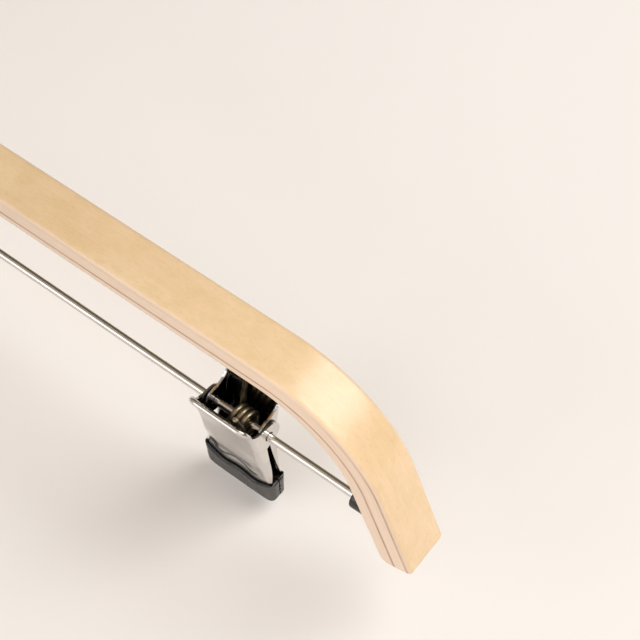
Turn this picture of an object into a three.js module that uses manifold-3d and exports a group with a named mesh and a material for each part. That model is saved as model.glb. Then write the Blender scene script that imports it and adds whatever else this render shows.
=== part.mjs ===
// Clip trouser hanger: a laminated bentwood bow, a swivelling wire hook, a steel rod and two sprung clips.
// Millimetres. X runs along the bow, -Y is the front, +Z is up.
// The origin is the point under the crest of the hook that rests on a rail.
import * as THREE from 'three';
import { mergeVertices } from 'three/addons/utils/BufferGeometryUtils.js';
import Module from 'manifold-3d';

const wasm = await Module();
wasm.setup();

// Bow
const bowWidth = 14;
const outerPly = 1;
const corePly = 4.2;
const innerPly = 2.4;
const armInnerPly = 4.7;
const bowHalfLength = 210;
const armLength = 28.5;
const armAngle = 70;
const armBendRadius = 38;
const crownRadius = 36;
const neckRadius = 52;
const neckHalfSpan = 56;
const bendSteps = 18;
const crownSteps = 8;

// Hook
const hookWire = 3.5;
const hookInnerRadius = 20;
const hookNeckRadius = 14;
const hookTipAngle = 200;
const hookTipBall = 5.2;
const hookShankLength = 14;
const hookSides = 12;
const hookSteps = 72;

// Hook's collar, washer and nut
const collarFlange = 9.6;
const collarFlangeHeight = 2.2;
const collarSpigot = 6.4;
const collarSpigotDepth = 4.2;
const washerDiameter = 9;
const washerHeight = 1;
const nutAcrossFlats = 7;
const nutHexHeight = 3.2;
const nutDomeHeight = 2.6;
const nutRoof = 1.4;
const seatDepth = 0.5;

// Rod and its sleeves
const rodDiameter = 2.3;
const rodAboveTip = 6.7;
const rodSeatDepth = 4.2;
const sleeveDiameter = 6.2;
const sleeveLength = 9.8;
const sleeveEdge = 0.6;

// Clips
const clipFromTip = 60.5;
const plate = 0.8;
const bodyHalfWidth = 10;
const jawHalfWidth = 11.4;
const flareTop = -6;
const flareBottom = -20;
const tabTop = 11.3;
const tabCorner = 2.6;
const tabFadeHeight = 7.4;
const lipRadius = 0.95;
const bellyHeight = -11;
const bellyReach = 4.4;
const jawNeckReach = 2.5;
const jawEndReach = 2;
const jawEnd = -31.8;
const earReach = 4.2;
const earTop = 3;
const earStep = 1;
const flankDipInset = 1.1;
const flankDipHeight = 5.2;
const flankEdgeInset = 1.15;
const throatHeight = -4.9;

// Clip spring
const springWire = 1.28;
const springMeanRadius = 3.75;
const springPitch = 1.76;
const springTurns = 3;
const springLean = 10;
const springOffset = 1.4;
const springLegTop = 9.2;
const springTurnSteps = 8;
const springSides = 5;

// Pads
const padHalfWidth = 12.2;
const padEndTop = -21.8;
const padMiddleDrop = 2.5;
const padScallop = 1.6;
const padOuter = 0.9;
const padSole = 1.2;
const padCorner = 2.4;
const padEdge = 0.7;
const padFaceGap = 0.15;
const padGrooves = 4;
const padGrooveDepth = 0.35;
const padGrooveWidth = 0.6;
const padGroovePitch = 2;

// Clearances and overrun
const seatGap = 0.3;
const rodClearance = 0.3;
const shankClearance = 0.2;
const pressGap = 0.12;
const padFit = 0.2;
const overrun = 1;
const weldDistance = 1e-5;
const roundSides = 24;
const cornerSteps = 5;

const radians = THREE.MathUtils.degToRad;

// Sizes worked out from the ones above
const bowThickness = outerPly + corePly + innerPly;
const armThickness = outerPly + corePly + armInnerPly;
const rodRadius = rodDiameter / 2;
const hookLineRadius = hookInnerRadius + hookWire / 2;
const hookTurn = THREE.MathUtils.radToDeg(Math.acos(hookNeckRadius / (hookLineRadius + hookNeckRadius)));
const crownAngle = THREE.MathUtils.radToDeg(Math.asin(neckHalfSpan / (neckRadius + crownRadius)));
const hookDrop = hookInnerRadius + (hookLineRadius + hookNeckRadius) * Math.sin(radians(hookTurn));
const crownTop = -(hookDrop + hookShankLength);
const shoulderTop = crownTop - (neckRadius + crownRadius) * (1 - Math.cos(radians(crownAngle)));
const armDrop = armBendRadius * (1 - Math.cos(radians(armAngle))) + armLength * Math.sin(radians(armAngle));
const tipHeight = shoulderTop - armDrop;
const rodHeight = tipHeight + rodAboveTip;
const crownUnderside = crownTop - bowThickness;
const armSlope = Math.tan(radians(armAngle));
const armInnerAtRod = bowHalfLength - rodAboveTip / armSlope - armThickness / Math.sin(radians(armAngle));

// Solids and meshes
function solidOf(geometry) {
  const bare = geometry.clone();
  for (const name of Object.keys(bare.attributes)) {
    if (name !== 'position') bare.deleteAttribute(name);
  }
  const merged = mergeVertices(bare, weldDistance);
  const mesh = new wasm.Mesh({
    numProp: 3,
    vertProperties: new Float32Array(merged.attributes.position.array),
    triVerts: new Uint32Array(merged.index.array),
  });
  return new wasm.Manifold(mesh);
}

function geometryOf(solid) {
  const mesh = solid.getMesh();
  const geometry = new THREE.BufferGeometry();
  geometry.setAttribute('position', new THREE.BufferAttribute(new Float32Array(mesh.vertProperties), 3));
  geometry.setIndex(new THREE.BufferAttribute(new Uint32Array(mesh.triVerts), 1));
  return geometry;
}

function shapeOf(points) {
  return new THREE.Shape(points.map(([a, b]) => new THREE.Vector2(a, b)));
}

// An outline in X and Z, made solid along Y between two places
function alongY(points, yFrom, yTo) {
  const geometry = new THREE.ExtrudeGeometry(shapeOf(points), { depth: yTo - yFrom, bevelEnabled: false });
  geometry.rotateX(Math.PI / 2);
  geometry.translate(0, yTo, 0);
  return solidOf(geometry);
}

// An outline in Y and Z, made solid along X between two places
function alongX(points, xFrom, xTo) {
  const geometry = new THREE.ExtrudeGeometry(shapeOf(points), { depth: xTo - xFrom, bevelEnabled: false });
  geometry.rotateY(Math.PI / 2);
  geometry.rotateX(Math.PI / 2);
  geometry.translate(xFrom, 0, 0);
  return solidOf(geometry);
}

function rodAlongX(radius, xFrom, xTo, sides = roundSides) {
  const geometry = new THREE.CylinderGeometry(radius, radius, xTo - xFrom, sides);
  geometry.rotateZ(Math.PI / 2);
  geometry.translate((xFrom + xTo) / 2, 0, 0);
  return solidOf(geometry);
}

function rodAlongZ(radius, zFrom, zTo, sides = roundSides) {
  const geometry = new THREE.CylinderGeometry(radius, radius, zTo - zFrom, sides);
  geometry.rotateX(Math.PI / 2);
  geometry.translate(0, 0, (zFrom + zTo) / 2);
  return solidOf(geometry);
}

// A turned piece on the Z axis, from a profile of [radius, height] points that starts and ends on the axis
function turned(profile, sides = roundSides) {
  const geometry = new THREE.LatheGeometry(profile.map(([r, z]) => new THREE.Vector2(r, z)), sides);
  geometry.rotateX(Math.PI / 2);
  return solidOf(geometry);
}

function blockOf(xHalf, yFrom, yTo, zFrom, zTo) {
  const geometry = new THREE.BoxGeometry(xHalf * 2, yTo - yFrom, zTo - zFrom);
  geometry.translate(0, (yFrom + yTo) / 2, (zFrom + zTo) / 2);
  return solidOf(geometry);
}

function arcPoints(x, y, radius, fromAngle, toAngle, steps) {
  const points = [];
  for (let i = 0; i <= steps; i++) {
    const angle = radians(fromAngle + (toAngle - fromAngle) * (i / steps));
    points.push([x + radius * Math.cos(angle), y + radius * Math.sin(angle)]);
  }
  return points;
}

// Materials
function metal(color, roughness) {
  return new THREE.MeshStandardMaterial({ color, roughness, metalness: 1 });
}

function plain(color, roughness) {
  return new THREE.MeshStandardMaterial({ color, roughness, metalness: 0 });
}

const veneer = () => plain(0xe6c391, 0.42);
const plating = () => metal(0xc9c6c1, 0.12);
const brightSteel = () => metal(0xd2cec8, 0.16);
const springSteel = () => metal(0x7a7060, 0.28);
const blackCap = () => plain(0x16150f, 0.3);

const hanger = new THREE.Group();

function addMesh(parent, name, geometry, material) {
  const mesh = new THREE.Mesh(geometry, material);
  mesh.name = name;
  parent.add(mesh);
  return mesh;
}

// A depth under the bow's outer face, followed into the arm, where the inner ply is at its thickest
function depthInArm(depth) {
  const seam = outerPly + corePly;
  return depth > seam ? seam + (depth - seam) * (armInnerPly / innerPly) : depth;
}

// The line of the bow at a depth under its outer face, from the crest of the crown to the right-hand tip.
// The inner ply thickens evenly through the bend.
function bowLine(depth) {
  const crown = arcPoints(0, crownTop - crownRadius, crownRadius - depth, 90, 90 - crownAngle, crownSteps);
  const neckHeight = shoulderTop + neckRadius;
  const neck = arcPoints(neckHalfSpan, neckHeight, neckRadius + depth, 270 - crownAngle, 270, crownSteps);
  const lean = radians(armAngle);
  const bendX = bowHalfLength - armLength * Math.cos(lean) - armBendRadius * Math.sin(lean);
  const armDepth = depthInArm(depth);
  const bend = [];
  for (let i = 0; i <= bendSteps; i++) {
    const share = i / bendSteps;
    const reach = armBendRadius - depth - (armDepth - depth) * share;
    const angle = lean * share;
    bend.push([bendX + reach * Math.sin(angle), shoulderTop - armBendRadius + reach * Math.cos(angle)]);
  }
  const tip = [bowHalfLength - armDepth * Math.sin(lean), tipHeight - armDepth * Math.cos(lean)];
  return [...crown, ...neck.slice(1), ...bend, tip];
}

// One ply between two depths, as a closed outline over the whole bow
function plyOutline(outerDepth, innerDepth) {
  const outer = bowLine(outerDepth);
  const inner = bowLine(innerDepth);
  const mirrored = (line) => line.slice(1).map(([x, z]) => [-x, z]);
  return [...mirrored(outer).reverse(), ...outer, ...[...inner].reverse(), ...mirrored(inner)];
}

function makeBow() {
  const crownSeat = rodAlongZ(collarFlange / 2 + seatGap, crownTop - seatDepth, crownTop + overrun);
  const spigotFloor = crownTop - seatDepth - collarSpigotDepth - seatGap;
  const spigotHole = rodAlongZ(collarSpigot / 2 + pressGap, spigotFloor, crownTop);
  const shankHole = rodAlongZ(hookWire / 2 + shankClearance, crownUnderside - overrun, crownTop + overrun);
  const washerFloor = crownUnderside + seatDepth;
  const washerSeat = rodAlongZ(washerDiameter / 2 + seatGap, crownUnderside - bowThickness, washerFloor);
  const rodEnd = armInnerAtRod + rodSeatDepth;
  const rodHoles = rodAlongX(rodRadius + pressGap, -rodEnd, rodEnd).translate([0, 0, rodHeight]);
  const cuts = [crownSeat, spigotHole, shankHole, washerSeat, rodHoles];
  const plies = [['bow_outer_ply', outerPly], ['bow_core_ply', corePly], ['bow_inner_ply', innerPly]];
  let depth = 0;
  for (const [name, thickness] of plies) {
    let ply = alongY(plyOutline(depth, depth + thickness), -bowWidth / 2, bowWidth / 2);
    for (const cut of cuts) ply = ply.subtract(cut);
    addMesh(hanger, name, geometryOf(ply), veneer());
    depth += thickness;
  }
}

// A line through given points, as a curve measured along its length
class PolylineCurve extends THREE.Curve {
  constructor(points) {
    super();
    this.path = new THREE.CurvePath();
    for (let i = 1; i < points.length; i++) this.path.add(new THREE.LineCurve3(points[i - 1], points[i]));
  }

  getPoint(t) {
    return this.path.getPoint(t);
  }
}

// A section with a number of sides, swept along a curve and closed at both ends
function tube(curve, radius, sides, steps) {
  const section = new THREE.Shape(arcPoints(0, 0, radius, 0, 360 - 360 / sides, sides - 1)
    .map(([a, b]) => new THREE.Vector2(a, b)));
  return solidOf(new THREE.ExtrudeGeometry(section, { steps, bevelEnabled: false, extrudePath: curve }));
}

function makeHook() {
  const line = arcPoints(0, -hookInnerRadius, hookLineRadius, hookTipAngle, -hookTurn, hookSteps);
  const neckX = hookNeckRadius;
  const neck = arcPoints(neckX, -hookDrop, hookNeckRadius, 180 - hookTurn, 180, hookSteps / 4);
  const nutFloor = crownUnderside + seatDepth - washerHeight - seatGap * 2;
  const shankEnd = nutFloor - nutHexHeight - nutDomeHeight + nutRoof + seatGap;
  const route = [...line, ...neck.slice(1), [0, shankEnd]];
  const points = route.map(([x, z]) => new THREE.Vector3(x, 0, z));
  const wire = tube(new PolylineCurve(points), hookWire / 2, hookSides, hookSteps);
  const ball = new THREE.SphereGeometry(hookTipBall / 2, roundSides / 2, roundSides / 3);
  ball.translate(points[0].x, 0, points[0].z);
  addMesh(hanger, 'hook', geometryOf(wire.add(solidOf(ball))), plating());

  const nutCorner = nutAcrossFlats / 2 / Math.cos(Math.PI / 6);
  const nutHex = rodAlongZ(nutCorner, nutFloor - nutHexHeight, nutFloor, 6);
  const domeRadius = nutAcrossFlats / 2 - sleeveEdge / 2;
  const domeTop = nutFloor - nutHexHeight;
  const domeProfile = arcPoints(0, 0, 1, -90, 0, cornerSteps)
    .map(([r, z]) => [r * domeRadius, domeTop + z * nutDomeHeight]);
  const dome = turned([...domeProfile, [domeRadius, domeTop + overrun], [0, domeTop + overrun]]);
  const nutBore = rodAlongZ(hookWire / 2 + pressGap, shankEnd - seatGap, nutFloor + overrun);
  addMesh(hanger, 'hook_nut', geometryOf(nutHex.add(dome).subtract(nutBore)), plating());

  const washerTop = crownUnderside + seatDepth - seatGap / 2;
  const boreTop = crownTop + hookShankLength;
  const shankBore = rodAlongZ(hookWire / 2 + shankClearance, washerTop - bowThickness, boreTop);
  const washer = rodAlongZ(washerDiameter / 2, washerTop - washerHeight, washerTop).subtract(shankBore);
  addMesh(hanger, 'hook_washer', geometryOf(washer), plating());

  const collarFloor = crownTop - seatDepth + seatGap / 2;
  const flangeRadius = collarFlange / 2;
  const rim = collarFlangeHeight / 2;
  const crest = arcPoints(flangeRadius - rim, collarFloor + rim, rim, 0, 90, cornerSteps);
  const spigotRadius = collarSpigot / 2;
  const spigotEnd = collarFloor - collarSpigotDepth;
  const collar = turned([[0, spigotEnd], [spigotRadius, spigotEnd], [spigotRadius, collarFloor],
    [flangeRadius, collarFloor], ...crest, [0, collarFloor + collarFlangeHeight]]).subtract(shankBore);
  addMesh(hanger, 'hook_collar', geometryOf(collar), plating());
}

function makeRod() {
  const rodEnd = armInnerAtRod + rodSeatDepth - seatGap;
  const rod = rodAlongX(rodRadius, -rodEnd, rodEnd).translate([0, 0, rodHeight]);
  addMesh(hanger, 'clip_rod', geometryOf(rod), brightSteel());

  const sleeveRadius = sleeveDiameter / 2;
  const sleeveStart = armInnerAtRod - sleeveLength;
  const bevel = turned([[0, sleeveStart], [sleeveRadius - sleeveEdge, sleeveStart],
    [sleeveRadius, sleeveStart + sleeveEdge], [sleeveRadius, armInnerAtRod + sleeveDiameter],
    [0, armInnerAtRod + sleeveDiameter]]).rotate([0, 90, 0]);
  const bore = rodAlongX(rodRadius + pressGap, sleeveStart - overrun, bowHalfLength);
  const reach = sleeveDiameter * 2;
  const armFace = (z) => armInnerAtRod - seatGap / Math.sin(radians(armAngle)) - z / armSlope;
  const beyondArm = alongY([[armFace(-reach), -reach], [bowHalfLength + reach, -reach],
    [bowHalfLength + reach, reach], [armFace(reach), reach]], -reach, reach);
  const right = bevel.subtract(bore).subtract(beyondArm).translate([0, 0, rodHeight]);
  addMesh(hanger, 'rod_sleeve_right', geometryOf(right), blackCap());
  addMesh(hanger, 'rod_sleeve_left', geometryOf(right.mirror([1, 0, 0])), blackCap());
}

// Clip. All of it is drawn round the rod's axis, with the jaws' meeting plane at Y = 0.
// The inside of a tab lies along the spring's leg, so it leans as the leg does.
const lean = radians(springLean);
const tabInside = springMeanRadius + springWire / 2 + seatGap;
const tabReach = (z, depth) => (tabInside + plate - depth + z * Math.sin(lean)) / Math.cos(lean);
const waist = -springMeanRadius / 2;

// Distance of the plate's face from the meeting plane, from the tab's top down to the jaw's end
function plateLine(depth) {
  return [[tabReach(tabTop, depth), tabTop], [tabReach(tabFadeHeight, depth), tabFadeHeight],
    [tabReach(waist, depth), waist], [bellyReach - depth, bellyHeight], [jawNeckReach - depth, flareBottom],
    [jawEndReach - depth, jawEnd]];
}

// The free edge of a flank, from the tab's foot over the ear, which wraps the rod, down to the jaw's neck
function flankEdge() {
  const tabFoot = [tabReach(tabFadeHeight, plate), tabFadeHeight];
  const dip = [tabReach(flankDipHeight, plate) - flankDipInset, flankDipHeight];
  const ear = arcPoints(0, 0, earReach, 135, 235, cornerSteps * 2);
  const throat = [flankEdgeInset, throatHeight];
  const lower = [flankEdgeInset, bellyHeight];
  const end = [jawNeckReach - plate, flareBottom];
  return [tabFoot, dip, [earStep, earTop], ...ear, throat, lower, end];
}

// A jaw seen from the front, grown or shrunk by an offset
function frontOutline(bodyHalf, offset, top) {
  const half = bodyHalf + offset;
  const flared = jawHalfWidth + offset;
  const corner = arcPoints(half - tabCorner, top - tabCorner, tabCorner, 90, 0, cornerSteps);
  const right = [...corner, [half, flareTop], [flared, flareBottom], [flared, jawEnd + offset]];
  const left = right.map(([x, z]) => [-x, z]).reverse();
  return [...right, ...left];
}

// One jaw with its plate at +Y. The rear jaw is the narrower, so that its ears turn inside the front one's.
function makeJaw(bodyHalf) {
  const outer = plateLine(0);
  const inner = plateLine(plate);
  const [innerEndReach] = inner[inner.length - 1];
  const span = jawHalfWidth + overrun;
  const wallOutline = [...outer, [innerEndReach, jawEnd], ...flankEdge().reverse(), inner[0]];
  const walls = alongX(wallOutline, -span, span);
  const lipReach = tabReach(tabTop, plate / 2) + lipRadius - plate / 2;
  const lipHeight = tabTop - lipRadius / 2;
  const lip = rodAlongX(lipRadius, -span, span, roundSides / 2).translate([0, lipReach, lipHeight]);
  const front = alongY(frontOutline(bodyHalf, 0, tabTop + lipRadius / 2), -span, span);
  const inside = alongX([...inner, [innerEndReach, jawEnd - overrun], [-span, jawEnd - overrun],
    [-span, tabTop + overrun], [inner[0][0], tabTop + overrun]], -span, span);
  const between = alongY(frontOutline(bodyHalf, -plate, tabTop + tabCorner * 2), -span, span);
  const rodHole = rodAlongX(rodRadius + rodClearance, -span, span);
  return walls.add(lip).intersect(front).subtract(inside.intersect(between)).subtract(rodHole);
}

// The cap over one jaw: a slotted block with a scalloped top edge and grooves across its gripping face
function makePad() {
  const steps = cornerSteps * 4;
  const topEdge = [];
  for (let i = 0; i <= steps; i++) {
    const share = i / steps;
    const middleDrop = padMiddleDrop * Math.sin(Math.PI * share);
    const scallopDrop = padScallop * Math.sin(2 * Math.PI * share) ** 2;
    topEdge.push([padHalfWidth * (2 * share - 1), padEndTop - middleDrop - scallopDrop]);
  }
  const sole = jawEnd - padSole;
  const bottomRight = arcPoints(padHalfWidth - padCorner, sole + padCorner, padCorner, 0, -90, cornerSteps);
  const bottomLeft = bottomRight.map(([x, z]) => [-x, z]).reverse();
  const span = padHalfWidth + overrun;
  const front = alongY([...topEdge, ...bottomRight, ...bottomLeft], -span, span);
  const outerTop = jawNeckReach + padOuter;
  const outerEnd = jawEndReach + padOuter;
  const side = alongX([[padFaceGap, padEndTop + overrun], [padFaceGap, sole], [outerEnd - padEdge, sole],
    [outerEnd, sole + padEdge], [outerTop, padEndTop + overrun]], -span, span);
  const outer = plateLine(-padFit);
  const inner = plateLine(plate + padFit);
  const neck = outer.length - 3;
  const slotEnd = jawEnd - padFit;
  const slotHalf = jawHalfWidth + padFit;
  const slotOutline = [...outer.slice(neck, -1), [outer[neck + 2][0], slotEnd],
    [inner[neck + 2][0], slotEnd], ...inner.slice(neck, -1).reverse()];
  const slotSide = alongX(slotOutline, -slotHalf, slotHalf);
  let pad = front.intersect(side).subtract(slotSide);
  for (let i = 0; i < padGrooves; i++) {
    const middle = sole + padGroovePitch * (i + 1);
    const groove = blockOf(span, -overrun, padFaceGap + padGrooveDepth,
      middle - padGrooveWidth / 2, middle + padGrooveWidth / 2);
    pad = pad.subtract(groove);
  }
  return pad;
}

// The spring's line: down the rear leg, round the rod, and up the front leg
function springLine() {
  const turnAngle = 360 * springTurns + 180 - 2 * springLean;
  const count = Math.round(springTurnSteps * turnAngle / 360);
  const length = springPitch * turnAngle / 360;
  const coil = [];
  for (let i = 0; i <= count; i++) {
    const angle = radians(-springLean - turnAngle * (i / count));
    const x = length * (i / count - 1 / 2);
    coil.push(new THREE.Vector3(x, springMeanRadius * Math.cos(angle), springMeanRadius * Math.sin(angle)));
  }
  const legRise = springLegTop - coil[0].z;
  const legs = [coil[0], coil[count]].map((foot) => {
    const side = Math.sign(foot.y);
    const top = new THREE.Vector3(foot.x, foot.y + side * legRise * Math.tan(lean), springLegTop);
    const bend = foot.clone().lerp(top, springWire / legRise);
    return { top, bend };
  });
  return [legs[0].top, legs[0].bend, ...coil, legs[1].bend, legs[1].top];
}

// A five-sided section carried along a line of points, with its twist kept as it goes
function wireSolid(points, radius, sides) {
  const positions = [];
  const indices = [];
  let normal = new THREE.Vector3(1, 0, 0);
  points.forEach((point, i) => {
    const before = points[Math.max(i - 1, 0)];
    const after = points[Math.min(i + 1, points.length - 1)];
    const tangent = after.clone().sub(before).normalize();
    normal = normal.clone().addScaledVector(tangent, -normal.dot(tangent)).normalize();
    const across = tangent.clone().cross(normal);
    for (let k = 0; k < sides; k++) {
      const angle = 2 * Math.PI * k / sides;
      const spot = point.clone().addScaledVector(normal, radius * Math.cos(angle))
        .addScaledVector(across, radius * Math.sin(angle));
      positions.push(spot.x, spot.y, spot.z);
    }
  });
  for (let i = 0; i + 1 < points.length; i++) {
    for (let k = 0; k < sides; k++) {
      const a = i * sides + k;
      const b = i * sides + (k + 1) % sides;
      indices.push(a, b, b + sides, a, b + sides, a + sides);
    }
  }
  const last = (points.length - 1) * sides;
  for (let k = 1; k + 1 < sides; k++) {
    indices.push(0, k + 1, k, last, last + k, last + k + 1);
  }
  const geometry = new THREE.BufferGeometry();
  geometry.setAttribute('position', new THREE.Float32BufferAttribute(positions, 3));
  geometry.setIndex(indices);
  return geometry;
}

// The least distance between parts of the wire that lie more than half a turn apart, less the wire itself
function leastGap(points, wire) {
  let least = Infinity;
  const apart = springTurnSteps / 2;
  for (let i = 0; i < points.length; i++) {
    for (let j = i + apart + 1; j < points.length; j++) {
      least = Math.min(least, points[i].distanceTo(points[j]));
    }
  }
  return least - wire;
}

function makeClip(side, name) {
  const clip = new THREE.Group();
  clip.position.set(side * (bowHalfLength - clipFromTip), 0, rodHeight);
  const pad = makePad();
  const turnedRound = [0, 0, 180];
  const frontJaw = makeJaw(bodyHalfWidth).rotate(turnedRound);
  addMesh(clip, `clip_${name}_front_jaw`, geometryOf(frontJaw), plating());
  addMesh(clip, `clip_${name}_rear_jaw`, geometryOf(makeJaw(bodyHalfWidth - plate - seatGap)), plating());
  addMesh(clip, `clip_${name}_front_pad`, geometryOf(pad.rotate(turnedRound)), blackCap());
  addMesh(clip, `clip_${name}_rear_pad`, geometryOf(pad), blackCap());
  const line = springLine();
  console.log(`spring ${name}: least gap to itself ${leastGap(line, springWire).toFixed(2)} mm`);
  const spring = wireSolid(line, springWire / 2, springSides);
  spring.translate(springOffset, 0, 0);
  addMesh(clip, `clip_${name}_spring`, spring, springSteel());
  hanger.add(clip);
}

makeBow();
makeHook();
makeRod();
makeClip(1, 'right');
makeClip(-1, 'left');

export default hanger;
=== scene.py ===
import math

import bmesh
import bpy
import numpy as np
from mathutils import Matrix, Vector


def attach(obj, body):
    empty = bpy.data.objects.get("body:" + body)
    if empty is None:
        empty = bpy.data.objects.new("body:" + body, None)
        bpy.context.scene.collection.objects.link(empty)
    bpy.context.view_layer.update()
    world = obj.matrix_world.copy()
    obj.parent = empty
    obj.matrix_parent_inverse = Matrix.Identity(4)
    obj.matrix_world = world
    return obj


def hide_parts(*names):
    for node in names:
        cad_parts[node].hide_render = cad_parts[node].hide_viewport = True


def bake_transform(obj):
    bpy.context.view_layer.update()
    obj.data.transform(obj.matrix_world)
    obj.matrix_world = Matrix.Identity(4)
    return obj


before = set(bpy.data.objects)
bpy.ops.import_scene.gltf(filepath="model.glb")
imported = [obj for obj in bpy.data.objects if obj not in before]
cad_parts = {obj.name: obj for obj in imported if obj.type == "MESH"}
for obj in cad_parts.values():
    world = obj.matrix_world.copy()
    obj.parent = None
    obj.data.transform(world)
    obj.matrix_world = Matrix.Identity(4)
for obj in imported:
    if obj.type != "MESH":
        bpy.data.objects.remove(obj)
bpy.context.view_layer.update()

MM = 0.001

# Sizes of the solids, in millimetres
BOW_WIDTH = 14
BOW_THICKNESS = 7.6
OUTER_SEAM = 1
INNER_SEAM = 5.2
ARM_INNER_PLY = 4.7
HALF_LENGTH = 210
ARM_LENGTH = 28.5
ARM_ANGLE = math.radians(70)
ARM_RADIUS = 38
CROWN_RADIUS = 36
NECK_RADIUS = 52
NECK_SPAN = 56
HOOK_WIRE = 3.5
HOOK_INSIDE = 20
HOOK_NECK = 14
HOOK_SHANK = 14
HOOK_TIP_ANGLE = math.radians(200)
HOOK_BALL_RADIUS = 2.6
HOOK_LINE = HOOK_INSIDE + HOOK_WIRE / 2
HOOK_TURN = math.acos(HOOK_NECK / (HOOK_LINE + HOOK_NECK))
HOOK_DROP = HOOK_INSIDE + (HOOK_LINE + HOOK_NECK) * math.sin(HOOK_TURN)
CROWN_TOP = -(HOOK_DROP + HOOK_SHANK)
CROWN_ANGLE = math.asin(NECK_SPAN / (NECK_RADIUS + CROWN_RADIUS))
SHOULDER_TOP = CROWN_TOP - (NECK_RADIUS + CROWN_RADIUS) * (1 - math.cos(CROWN_ANGLE))
TIP_HEIGHT = SHOULDER_TOP - ARM_RADIUS * (1 - math.cos(ARM_ANGLE)) - ARM_LENGTH * math.sin(ARM_ANGLE)
ROD_ABOVE_TIP = 6.7
ROD_HEIGHT = TIP_HEIGHT + ROD_ABOVE_TIP
ROD_RADIUS = 1.15
ROD_SEAT = 4.2
ARM_THICKNESS = INNER_SEAM + ARM_INNER_PLY
ARM_INNER = HALF_LENGTH - ROD_ABOVE_TIP / math.tan(ARM_ANGLE) - ARM_THICKNESS / math.sin(ARM_ANGLE)
CROWN_UNDER = CROWN_TOP - BOW_THICKNESS
BORE_RADIUS = 1.95
SPIGOT_RADIUS = 3.2
SPIGOT_LENGTH = 4.2
FLANGE_RADIUS = 4.8
FLANGE_HEIGHT = 2.2
WASHER_RADIUS = 4.5
WASHER_HEIGHT = 1
NUT_GAP = 0.6
NUT_FLAT = 3.5
NUT_HEX = 3.2
NUT_DOME = 2.6
NUT_ROOF = 1.4
SEAT_DEPTH = 0.5
SEAT_GAP = 0.3
CLIP_FROM_TIP = 60.5
CLIP_PLACE = HALF_LENGTH - CLIP_FROM_TIP
PLATE = 0.8

# Sizes that only the scene has, in millimetres: rounded edges, and the inner ply's growth before the bend
EDGE_RADIUS = 1.1
END_RADIUS = 1.6
TIP_ROUND = 4.3
TIP_TRIM_LIMIT = 3.4
SHOULDER_SHARE = 0.3

# Each ply: the piece's name, its node, and how deep it starts and ends under the outer face
PLIES = [
    ("outer_ply", "bow_outer_ply", 0, OUTER_SEAM),
    ("core_ply", "bow_core_ply", OUTER_SEAM, INNER_SEAM),
    ("inner_ply", "bow_inner_ply", INNER_SEAM, BOW_THICKNESS),
]


# Mesh building

def new_object(name, verts, faces, smooth_angle=None):
    mesh = bpy.data.meshes.new(name)
    mesh.from_pydata([tuple(c * MM for c in v) for v in verts], [], faces)
    mesh.validate()
    bm = bmesh.new()
    bm.from_mesh(mesh)
    bmesh.ops.recalc_face_normals(bm, faces=bm.faces)
    bm.to_mesh(mesh)
    bm.free()
    obj = bpy.data.objects.new(name, mesh)
    bpy.context.scene.collection.objects.link(obj)
    shade(obj, smooth_angle)
    return obj


def shade(obj, smooth_angle=None):
    obj.data.shade_smooth()
    if smooth_angle is not None:
        obj.data.set_sharp_from_angle(angle=math.radians(smooth_angle))


def settle(obj):
    """Makes the object's modifiers part of its mesh."""
    graph = bpy.context.evaluated_depsgraph_get()
    mesh = bpy.data.meshes.new_from_object(obj.evaluated_get(graph))
    obj.modifiers.clear()
    obj.data = mesh


def cut(obj, cutters, solver="EXACT"):
    for cutter in cutters:
        modifier = obj.modifiers.new("cut", "BOOLEAN")
        modifier.operation = "DIFFERENCE"
        modifier.solver = solver
        modifier.object = cutter
    settle(obj)


def discard(objects):
    for obj in objects:
        bpy.data.objects.remove(obj)


def bevel(obj, width, segments=2, angle=45):
    modifier = obj.modifiers.new("edges", "BEVEL")
    modifier.width = width * MM
    modifier.segments = segments
    modifier.limit_method = "ANGLE"
    modifier.angle_limit = math.radians(angle)
    modifier.use_clamp_overlap = True
    settle(obj)


def quads(rows, columns, wrap_rows=False, wrap_columns=False):
    faces = []
    for i in range(rows if wrap_rows else rows - 1):
        for j in range(columns if wrap_columns else columns - 1):
            a = i * columns + j
            b = i * columns + (j + 1) % columns
            c = ((i + 1) % rows) * columns + (j + 1) % columns
            d = ((i + 1) % rows) * columns + j
            faces.append((a, b, c, d))
    return faces


def ring_solid(name, rings, smooth_angle=None):
    """A solid through closed rings of points, closed by a face at each end."""
    n = len(rings[0])
    verts = [p for ring in rings for p in ring]
    faces = quads(len(rings), n, wrap_columns=True)
    faces.append(tuple(range(n)))
    faces.append(tuple((len(rings) - 1) * n + k for k in range(n)))
    return new_object(name, verts, faces, smooth_angle)


def torus_like(name, rings, smooth_angle=None):
    """A solid through closed rings of points, the last of which joins the first."""
    verts = [p for ring in rings for p in ring]
    return new_object(name, verts, quads(len(rings), len(rings[0]), True, True), smooth_angle)


def turned(name, profile):
    """A piece turned round the Z axis from (radius, height) points, open in its middle."""
    sides = 64
    rings = []
    for k in range(sides):
        a = 2 * math.pi * k / sides
        rings.append([(r * math.cos(a), r * math.sin(a), h) for r, h in profile])
    return torus_like(name, rings, 35)


def bar(name, radius, start, end, axis, sides=48):
    centre = Vector(start)
    length = (Vector(end) - centre).length
    rings = []
    for h in (0, length):
        ring = []
        for k in range(sides):
            a = 2 * math.pi * k / sides
            u, v = radius * math.cos(a), radius * math.sin(a)
            p = Vector((u, v, h)) if axis == "Z" else Vector((h, u, v))
            ring.append(tuple(centre + p))
        rings.append(ring)
    return ring_solid(name, rings, 40)


def rounded(r, h, radius, start, end, steps=5):
    """Points of a rounded corner in a profile, between two angles in degrees."""
    angles = [math.radians(start + (end - start) * i / steps) for i in range(steps + 1)]
    return [(r + radius * math.cos(a), h + radius * math.sin(a)) for a in angles]


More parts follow.
